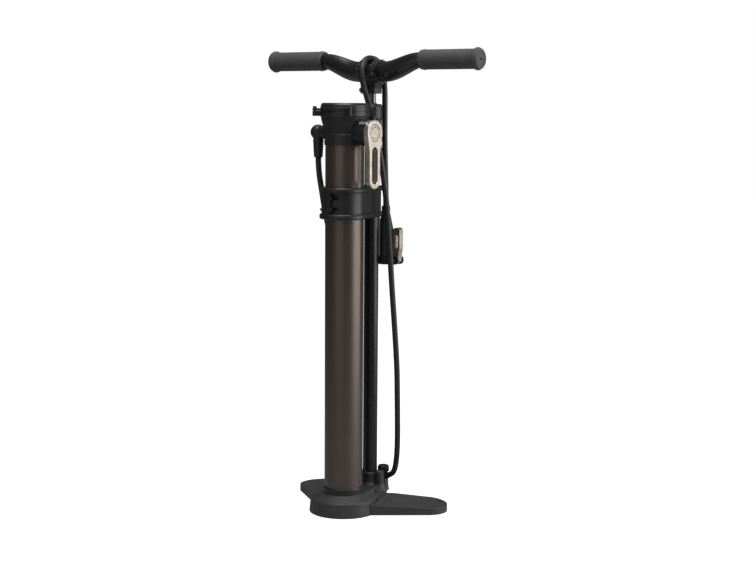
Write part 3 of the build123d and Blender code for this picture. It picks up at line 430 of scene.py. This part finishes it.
MATERIALS = {
    "base_black": coated_base(),
    "rubber_black": rubber("rubber_black", (0.020, 0.020, 0.021), 0.7),
    "bronze_anodised": anodised_tube(),
    "black_plastic": grained("black_plastic", (0.016, 0.016, 0.017), 0.40),
    "black_steel": grained("black_steel", (0.020, 0.020, 0.022), 0.32,
                           grain=900.0, depth=0.00001, edge=0.0003),
    "black_alloy": grained("black_alloy", (0.018, 0.018, 0.020), 0.34,
                           grain=1100.0, depth=0.00001, edge=0.0008),
    "black_barrel": grained("black_barrel", (0.010, 0.010, 0.011), 0.32,
                            grain=600.0, depth=0.000002, edge=0.0003),
    "steel": metal("steel", (0.50, 0.50, 0.51), 0.30),
    "chrome_rod": metal("chrome_rod", (0.16, 0.16, 0.17), 0.18, stretch=(1, 1, 0.2)),
    "brass": metal("brass", (0.62, 0.46, 0.20), 0.3),
    "nickel": cast_nickel(),
    "handlebar_black": gloss_black(),
    "grip_rubber": grip_rubber(),
    "lens": clear_lens(),
    "dial_white": plain_printed("dial_white", (0.80, 0.80, 0.77), 0.5),
    "pointer_red": plain_printed("pointer_red", (0.55, 0.03, 0.02), 0.45),
    "hose_rubber": hose_rubber(),
    "seal_rubber": rubber("seal_rubber", (0.03, 0.03, 0.03), 0.6),
    "bush_plastic": grained("bush_plastic", (0.42, 0.40, 0.34), 0.5),
}

for entry in frame["record"]["subparts"]:
    mesh = nodes[entry["node"]].data
    mesh.materials.clear()
    mesh.materials.append(MATERIALS[entry["material_slot"]])
nodes["release_lever_disc"].data.materials[0] = groove_shaded_disc()
nodes["bar_end_plugs"].data.materials[0] = MATERIALS["grip_rubber"]
for hose in (outlet_hose, link_hose):
    hose.data.materials.append(MATERIALS["hose_rubber"])


# ---- printed scale of the gauge ----
DIAL_CENTRE = Vector((0.0, -0.072, 0.6273))
DIAL_START = 225.0
DIAL_SWEEP = 270.0
DIAL_STEPS = 27
DIAL_STEPS_PER_FIGURE = 3
DIAL_VALUE_PER_FIGURE = 20
TICK_OUTER_R = 29.5 * MM
LONG_TICK = (24.0 * MM, 0.45 * MM)
SHORT_TICK = (26.5 * MM, 0.22 * MM)
FIGURE_R = 20.0 * MM
FIGURE_SIZE = 4.6 * MM


def dial_angle(step):
    return radians(DIAL_START - DIAL_SWEEP * step / DIAL_STEPS)


def make_scale():
    """Tick marks and figures printed on the dial, clockwise from the pointer's rest."""
    ink = plain_printed("scale_ink", (0.015, 0.015, 0.016), 0.5)
    mesh = bpy.data.meshes.new("gauge_ticks")
    bm = bmesh.new()
    for i in range(DIAL_STEPS + 1):
        a = dial_angle(i)
        along, across = Vector((cos(a), sin(a), 0.0)), Vector((-sin(a), cos(a), 0.0))
        inner, half = SHORT_TICK if i % DIAL_STEPS_PER_FIGURE else LONG_TICK
        corners = [(inner, -half), (TICK_OUTER_R, -half), (TICK_OUTER_R, half), (inner, half)]
        bm.faces.new([bm.verts.new(DIAL_CENTRE + along * u + across * v) for u, v in corners])
    bm.to_mesh(mesh)
    bm.free()
    ticks = bpy.data.objects.new("gauge_ticks", mesh)
    bpy.context.scene.collection.objects.link(ticks)
    mesh.materials.append(ink)
    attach(ticks, "pump")
    for i in range(0, DIAL_STEPS + 1, DIAL_STEPS_PER_FIGURE):
        a = dial_angle(i)
        text = bpy.data.curves.new(f"gauge_figure_{i}", "FONT")
        text.body = str(i // DIAL_STEPS_PER_FIGURE * DIAL_VALUE_PER_FIGURE)
        text.size = FIGURE_SIZE
        text.align_x = "CENTER"
        text.align_y = "CENTER"
        figure = bpy.data.objects.new(f"gauge_figure_{i}", text)
        figure.location = DIAL_CENTRE + Vector((cos(a), sin(a), 0.0)) * FIGURE_R
        bpy.context.scene.collection.objects.link(figure)
        text.materials.append(ink)
        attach(figure, "pump")


make_scale()


# ---- studio ----
WORLD_AS_LIGHT = 0.10
WORLD_AS_SEEN = 1.0
LIGHT_AIM = Vector((0.0, -0.03, 0.40))


def make_world():
    """White to the camera, dimmer as a source of light, so the edges of round parts stay dark."""
    world = bpy.data.worlds.new("studio_world")
    bpy.context.scene.world = world
    world.use_nodes = True
    tree = world.node_tree
    path = tree.nodes.new("ShaderNodeLightPath")
    mix = tree.nodes.new("ShaderNodeMix")
    mix.inputs["A"].default_value = WORLD_AS_LIGHT
    mix.inputs["B"].default_value = WORLD_AS_SEEN
    background = tree.nodes["Background"]
    background.inputs["Color"].default_value = (1.0, 1.0, 1.0, 1.0)
    tree.links.new(path.outputs["Is Camera Ray"], mix.inputs["Factor"])
    tree.links.new(mix.outputs["Result"], background.inputs["Strength"])


def make_floor():
    """Plain pale floor that the camera sees run into the white surround, with little bounce light."""
    bpy.ops.mesh.primitive_plane_add(size=16.0, location=(0, 0, 0))
    floor = bpy.context.object
    floor.name = "studio_floor"
    paper = Shader("studio_paper", (0.42, 0.42, 0.42), 0.9, 0.0, Specular_IOR_Level=0.0,
                   Emission_Color=(1.0, 1.0, 1.0, 1.0))
    path = paper.tree.nodes.new("ShaderNodeLightPath")
    paper.tree.links.new(path.outputs["Is Camera Ray"], paper.shader.inputs["Emission Strength"])
    paper.vary_color(paper.noise(3.0, 2.0), 0.99, 1.01)
    floor.data.materials.append(paper.material)


def make_lights():
    # name, azimuth and distance from the pump, height, size, power
    lights = [
        ("key_right", 114.0, 1.6, 0.75, (1.5, 1.7), 22.0),
        ("fill_front", 4.0, 1.9, 0.9, (1.7, 1.6), 4.0),
        ("back", 190.0, 0.6, 2.3, (1.2, 0.8), 6.0),
        ("top", 20.0, 0.5, 2.1, (1.2, 1.0), 20.0),
    ]
    for name, azimuth, distance, height, size, power in lights:
        data = bpy.data.lights.new(name, "AREA")
        data.shape = "RECTANGLE"
        data.size, data.size_y = size
        data.energy = power
        light = bpy.data.objects.new(name, data)
        a = radians(azimuth)
        light.location = (sin(a) * distance, -cos(a) * distance, height)
        light.rotation_euler = (LIGHT_AIM - light.location).to_track_quat("-Z", "Y").to_euler()
        bpy.context.scene.collection.objects.link(light)


make_world()
make_floor()
make_lights()
bpy.context.scene.view_settings.view_transform = "Standard"
